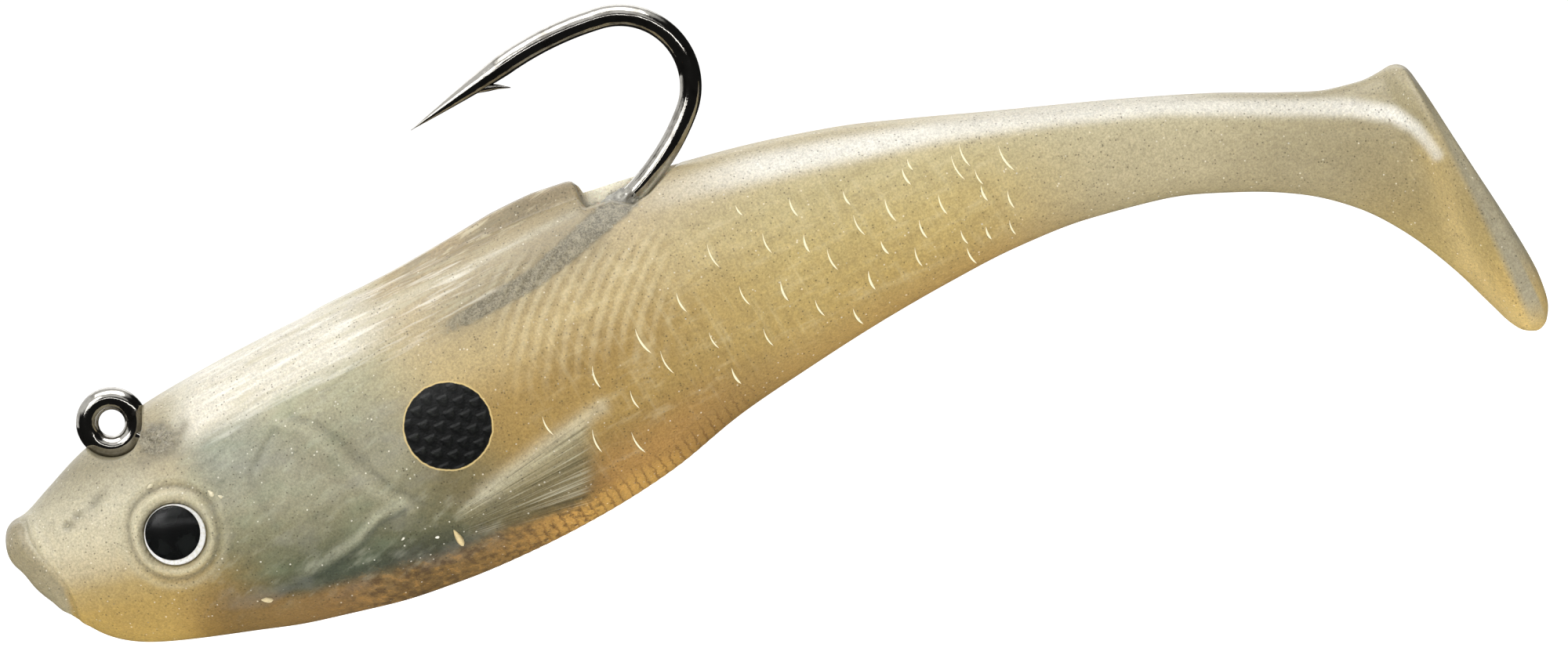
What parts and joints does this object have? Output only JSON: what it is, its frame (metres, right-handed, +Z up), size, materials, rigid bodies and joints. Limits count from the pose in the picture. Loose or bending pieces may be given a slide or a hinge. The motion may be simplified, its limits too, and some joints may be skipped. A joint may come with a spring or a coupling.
{
  "type": "swimbait fishing lure",
  "caption": "Soft-plastic paddle-tail swimbait moulded round a single jig hook with an internal lead weight, domed eyes, flash foil and a flexing tail.",
  "frame": {"origin": "centre of the hook's line-tie eye", "axes": "+X from nose to tail, +Z up towards the hook point, +Y to the fish's right; the XZ plane is the plane of symmetry"},
  "size_m": [0.1017, 0.012, 0.035],
  "materials": {
    "soft_plastic": "translucent pearl plastisol with fine glitter",
    "hook_steel": "polished black nickel",
    "lead": "cast lead, dull",
    "foil": "holographic foil",
    "iris_foil": "silver foil",
    "pupil": "gloss black",
    "clear_lens": "clear domed resin"
  },
  "bodies": {
    "front": {"soft_body_front": "soft_plastic", "hook": "hook_steel", "lead_weight": "lead", "flash_foil_left": "foil", "flash_foil_right": "foil", "eye_iris_left": "iris_foil", "eye_iris_right": "iris_foil", "eye_pupil_left": "pupil", "eye_pupil_right": "pupil", "eye_lens_left": "clear_lens", "eye_lens_right": "clear_lens"},
    "middle": {"soft_body_middle": "soft_plastic"},
    "stem": {"tail_stem": "soft_plastic"},
    "tail": {"paddle": "soft_plastic"}
  },
  "joints": [
    {"name": "body_flex", "type": "hinge", "parent": "front", "child": "middle", "pos_m": [0.047, 0, 0], "axis": [0, 0, 1], "range_deg": [-15, 15], "stiffness_Nm_per_rad": 0.004},
    {"name": "stem_flex", "type": "hinge", "parent": "middle", "child": "stem", "pos_m": [0.064, 0, 0], "axis": [0, 0, 1], "range_deg": [-25, 25], "stiffness_Nm_per_rad": 0.0015},
    {"name": "paddle_flex", "type": "hinge", "parent": "stem", "child": "tail", "pos_m": [0.08, 0, 0], "axis": [0, 0, 1], "range_deg": [-35, 35], "stiffness_Nm_per_rad": 0.0005}
  ]
}
